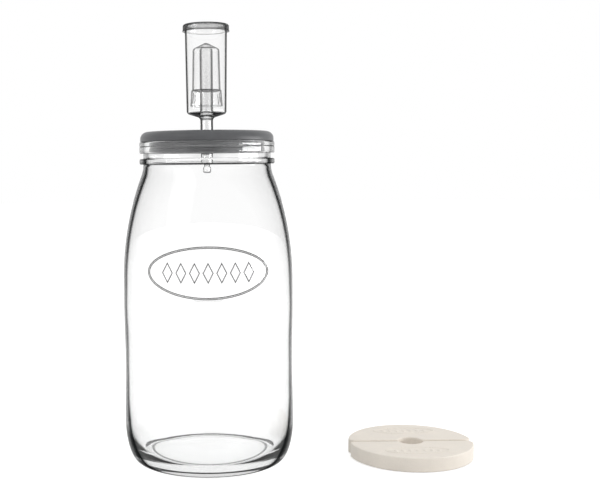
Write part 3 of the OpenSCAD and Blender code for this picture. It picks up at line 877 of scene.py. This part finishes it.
class JAR_OT_airlock_body(bpy.types.Operator):
    """Build the airlock's cup, centre tube and stem"""
    bl_idname = "jar.airlock_body"
    bl_label = "Airlock body"

    def execute(self, context):
        h = heights(context.scene)
        lock = h.lock
        nozzle_z, nozzle_r = h.stem_end - lock.nozzle_l, lock.nozzle_d / 2
        ball_h, ball_r = 5.2, 1.7
        neck_r = nozzle_r - 0.9
        low_r, corner = lock.cup_low_d / 2, lock.cup_corner_r
        cup_r, tube_r = lock.cup_d / 2, lock.tube_d / 2
        bore_r = tube_r - lock.wall
        ball_x, corner_x, corner_z = nozzle_r - ball_r, low_r - corner, h.cup_floor + corner
        outline = soften([
            (lock.nozzle_bore_d / 2, nozzle_z),
            *arc(ball_x, nozzle_z + ball_r, ball_r, -80, 0, 2),
            *arc(ball_x, nozzle_z + ball_h - ball_r, ball_r, 0, 65, 2),
            (neck_r, nozzle_z + ball_h + 0.4), (neck_r, h.stem_end - 1.2),
            (lock.stem_tip_d / 2 - 0.3, h.stem_end),
            (h.stem_r(h.stem_end + 0.8), h.stem_end + 0.8), (h.stem_r(h.lid_top), h.lid_top),
            *arc(lock.stem_d / 2 + 3, h.stem_top - 1.6, 3, 180, 115, 2),
            *arc(corner_x, corner_z, corner, -75, 0, 2), (cup_r, h.cup_top),
            # From here on inside the cup, and round its centre tube into the bore
            (cup_r - lock.wall, h.cup_top),
            *arc(corner_x, corner_z, corner - lock.wall, 0, -75, 2),
            (tube_r + 1, h.cup_floor + 0.4), (tube_r, h.cup_floor + 1.4),
            (tube_r, h.tube_top - 0.3), (tube_r - 0.3, h.tube_top), (bore_r, h.tube_top),
            (lock.stem_tip_d / 2 - lock.wall, h.stem_end + 1),
            (lock.nozzle_bore_d / 2, h.stem_end - 1)], 0.3)
        material = cup_plastic(tuple(context.scene.jar_airlock.side))
        obj = settled(turned("airlock_body_moulded", outline + outline[:1], material, 128))
        return seat(obj, "airlock_body", "airlock")


class JAR_OT_airlock_float(bpy.types.Operator):
    """Build the float with its gas slots"""
    bl_idname = "jar.airlock_float"
    bl_label = "Airlock float"

    def execute(self, context):
        h = heights(context.scene)
        lock = h.lock
        tube_r, slope, wall, round_r = lock.tube_d / 2, 0.52, lock.float_t, 3
        point_in = h.tube_top + lock.float_gap + tube_r * slope
        point_z = point_in + wall * 1.15
        top_z = point_z - lock.point_h
        low_z = top_z - lock.float_h
        ledge_z = low_z + lock.skirt_h
        low_r, skirt_r, side_r = lock.skirt_low_d / 2, lock.skirt_d / 2, lock.float_low_d / 2

        def dome(r, z_tip, rounding):
            return [*arc(r - rounding, top_z, rounding, 0, 62, 3),
                    (1.6, z_tip - 1.6 * slope), (0, z_tip - 0.4)]

        inner = [(low_r - wall, low_z), (skirt_r - wall, ledge_z - wall),
                 (side_r - wall, ledge_z - wall + 0.6),
                 *dome(lock.float_d / 2 - wall, point_in, round_r - wall)]
        outer = [(low_r, low_z), (skirt_r, ledge_z - 0.5), (skirt_r - 0.5, ledge_z),
                 (side_r, ledge_z + 0.3), *dome(lock.float_d / 2, point_z, round_r)]
        # The outline runs from the point inside, down and round the edge, to the point outside
        outline = soften(inner[::-1] + outer, 0.25, closed=False)
        material = float_plastic(tuple(context.scene.jar_airlock.side))
        obj = turned("airlock_float_moulded", outline, material, 128)
        slot_z = low_z + lock.skirt_h / 2
        pierced(obj, material, lock.slots, lock.float_d / 2 + 1.5, slot_z,
                (7.0, lock.slot_w, lock.slot_h), math.pi / lock.slots)
        return seat(settled(obj), "airlock_float", "float")


class JAR_OT_airlock_cap(bpy.types.Operator):
    """Build the vented cap"""
    bl_idname = "jar.airlock_cap"
    bl_label = "Airlock cap"

    def execute(self, context):
        h = heights(context.scene)
        lock = h.lock
        bore = lock.cup_d / 2 + lock.cap_fit
        cap_r = bore + lock.cap_t
        low, top = h.cup_top - lock.cap_skirt_h, h.cup_top + lock.cap_plate_t
        under = h.cup_top + 0.06
        outline = soften([
            (0, under), (bore, under), (bore, low), (cap_r + lock.cap_lip, low),
            (cap_r + lock.cap_lip, low + 0.8), (cap_r, low + 1.3),
            *arc(cap_r - lock.cap_plate_t, h.cup_top, lock.cap_plate_t, 0, 90, 4),
            (0, top)], 0.25, closed=False)
        material = cap_plastic(tuple(context.scene.jar_airlock.side))
        obj = turned("airlock_cap_moulded", outline, material, 160)
        pierced(obj, material, lock.vents, lock.vent_circle_d / 2, h.cup_top + 1,
                (lock.vent_d, lock.vent_d, 6.0), 0.0, True)
        return seat(settled(obj), "airlock_cap", "cap")


class JAR_OT_weights(bpy.types.Operator):
    """Build the pair of ceramic weights"""
    bl_idname = "jar.weights"
    bl_label = "Ceramic weights"

    def plan(self, w):
        """The half disc in plan, its straight side towards the middle of the pair."""
        r, hole, straight, corner = w.weight_d / 2, w.hole_d / 2, w.gap / 2, w.corner_r
        cy = straight + corner
        cx = math.sqrt((r - corner) ** 2 - cy ** 2)
        lean = math.degrees(math.atan2(cy, cx))
        hole_turn = math.degrees(math.asin(straight / hole))
        right = arc(cx, cy, corner, -90, lean, 4)
        left = [(-x, y) for x, y in right[::-1]]
        return (right + arc(0, 0, r, lean, 180 - lean, 30)[1:-1] + left
                + arc(0, 0, hole, 180 - hole_turn, hole_turn, 10))

    def execute(self, context):
        w = in_mm(context.scene.jar_weights)
        material = glazed_ceramic(tuple(context.scene.jar_weights.colour))
        plan = self.plan(w)
        for side, turn in (("rear", 1), ("front", -1)):
            b = bmesh.new()
            face = b.faces.new([b.verts.new((x * MM, y * MM, 0)) for x, y in plan])
            up = bmesh.ops.extrude_face_region(b, geom=[face])["geom"]
            bmesh.ops.translate(b, vec=(0, 0, w.weight_t * MM),
                                verts=[v for v in up if isinstance(v, bmesh.types.BMVert)])
            bmesh.ops.recalc_face_normals(b, faces=b.faces)
            obj = piece("ceramic_weight_" + side, b)
            bevel = obj.modifiers.new("rounded_edges", "BEVEL")
            bevel.width, bevel.segments = w.edge_r * MM, 5
            bevel.limit_method, bevel.angle_limit = "ANGLE", math.radians(60)
            remesh = obj.modifiers.new("cast_skin", "REMESH")
            # Cells fine enough for the raised line
            remesh.mode, remesh.voxel_size = "VOXEL", 0.42 * MM
            mesh = settled(obj).data
            co = points_of(mesh)
            oval_y = (w.weight_d / 2 + w.hole_d / 2) / 2 - 1
            mark = oval_mark(co[:, 0], co[:, 1] - oval_y, w, soft=0.6)
            co[:, 2] += np.where(co[:, 2] > w.weight_t - 0.3, mark * w.relief, 0)
            co[:, :2] *= turn
            co[:, 0] += w.place_x
            move_points(mesh, co)
            mesh.materials.clear()
            mesh.materials.append(material)
            seat(obj, "weight_" + side, side + "_weight", 60)
        return {"FINISHED"}


class JAR_OT_stage(bpy.types.Operator):
    """Set up the camera, the soft light and the pale floor"""
    bl_idname = "jar.stage"
    bl_label = "Studio"

    def lamp(self, name, place, aim, size, power):
        data = bpy.data.lights.new(name, "AREA")
        data.shape, data.energy = "RECTANGLE", power
        data.size, data.size_y = size
        obj = bpy.data.objects.new(name, data)
        bpy.context.scene.collection.objects.link(obj)
        away = np.array(place) - np.array(aim)
        obj.location = place
        obj.rotation_euler = (math.atan2(math.hypot(away[0], away[1]), away[2]), 0,
                              math.atan2(away[1], away[0]) + math.pi / 2)

    def seen(self, add):
        """1 for rays that look at the background: straight, mirrored or through glass."""
        ray = add("LightPath", get=None)
        seen = add("Math:MAXIMUM", (ray["Is Camera Ray"], ray["Is Glossy Ray"]))
        return add("Math:MAXIMUM", (seen, ray["Is Transmission Ray"]))

    def camera(self, scene, stage):
        """Straight in front of the jar, as it was taken, with the jar set left in the frame."""
        camera = bpy.data.cameras.new("camera")
        camera.lens, camera.sensor_width, camera.clip_start = stage.lens, 36, 0.01
        camera.shift_x, camera.shift_y = 0.1538, -0.0309
        eye = bpy.data.objects.new("camera", camera)
        eye.matrix_world = (Matrix.Translation((0, -stage.distance, stage.eye))
                            @ Matrix.Rotation(math.pi / 2 - stage.tilt, 4, "X")
                            @ Matrix.Rotation(stage.roll, 4, "Z"))
        scene.collection.objects.link(eye)
        scene.camera = eye

    def world(self, scene):
        """White to look at, a little less bright as a light, and dark in mirrored surfaces
        towards the camera at eye height, since the studio in front of the jar is dark."""
        scene.world = bpy.data.worlds.new("white_studio")
        scene.world.use_nodes = True
        scene.world.node_tree.nodes.clear()
        add = partial(node, scene.world.node_tree)
        glow, white, black = [add("Background", (linear(colour), strength)) for colour, strength
                              in (("#FFFFFF", 0.87), ("#FFFFFF", 1.0), ("#303030", 1.0))]
        mixed = add("MixShader", (self.seen(add), glow, white))
        way = add("TexCoord", get="Generated")
        level = add("Math:ABSOLUTE", (add("SeparateXYZ", (way,), "Z"),))
        level = add("MapRange", (level, 0.04, 0.09, 1.0, 0.0))
        ahead = add("VectorMath:DOT_PRODUCT", (way, (0, -1, 0)), "Value")
        ahead = add("MapRange", (ahead, 0.8, 0.97))
        for factor in (add("LightPath", get="Is Glossy Ray"), level):
            ahead = add("Math:MULTIPLY", (ahead, factor))
        mixed = add("MixShader", (ahead, mixed, black))
        add("OutputWorld", {"Surface": mixed}, None, is_active_output=True)

    def floor(self, stage):
        """A pale matt disc that looks white to the camera, under everything."""
        material, add = fresh_material("pale_surface")
        matt = add("BsdfDiffuse", (tuple(stage.floor),))
        bright = add("Emission", (linear("#FFFFFF"), 0.55))
        lift = add("MixShader", (self.seen(add), add("Emission", {"Strength": 0.0}), bright))
        add("OutputMaterial", {"Surface": add("AddShader", (matt, lift))}, None)
        b = bmesh.new()
        bmesh.ops.create_circle(b, cap_ends=True, radius=6.0, segments=96)
        floor = piece("floor", b)
        floor.data.materials.append(material)
        floor.location.z = -0.0002

    def execute(self, context):
        scene, stage = context.scene, context.scene.jar_stage
        self.camera(scene, stage)
        self.world(scene)
        # A long low softbox on the right, level with the neck, gives lid and rim their sheen
        self.lamp("right_softbox", (1.35, -0.22, 0.25), (0, 0, 0.26), (1.0, 0.15), 6.5)
        self.lamp("left_softbox", (-0.9, -0.9, 1.0), (0, 0, 0.15), (0.9, 0.9), 2.0)
        self.floor(stage)
        scene.view_settings.view_transform = "Standard"
        # Light passes up to six walls of airlock and jar on its way, twice each
        scene.cycles.max_bounces = scene.cycles.transmission_bounces = 32
        return {"FINISHED"}


class JAR_PT_parts(bpy.types.Panel):
    """The pieces of the jar, one button each"""
    bl_idname = "JAR_PT_parts"
    bl_label = "Fermentation jar"
    bl_space_type = "VIEW_3D"
    bl_region_type = "UI"
    bl_category = "Jar"

    def draw(self, context):
        for operator in OPERATORS:
            self.layout.operator(operator.bl_idname)


SETTINGS = {"jar_glass": JarGlassSettings, "jar_lid": JarLidSettings,
            "jar_airlock": JarAirlockSettings, "jar_weights": JarWeightSettings,
            "jar_stage": JarStageSettings}
OPERATORS = (JAR_OT_glass, JAR_OT_lid, JAR_OT_airlock_body, JAR_OT_airlock_float,
             JAR_OT_airlock_cap, JAR_OT_weights, JAR_OT_stage)


def register():
    for name, group in SETTINGS.items():
        bpy.utils.register_class(group)
        setattr(bpy.types.Scene, name, bpy.props.PointerProperty(type=group))
    for part in (*OPERATORS, JAR_PT_parts):
        bpy.utils.register_class(part)


def unregister():
    for part in (JAR_PT_parts, *reversed(OPERATORS)):
        bpy.utils.unregister_class(part)
    for name, group in reversed(SETTINGS.items()):
        delattr(bpy.types.Scene, name)
        bpy.utils.unregister_class(group)


def main():
    register()
    for part in OPERATORS:
        group, action = part.bl_idname.split(".")
        getattr(getattr(bpy.ops, group), action)()


if __name__ == "__main__":
    main()
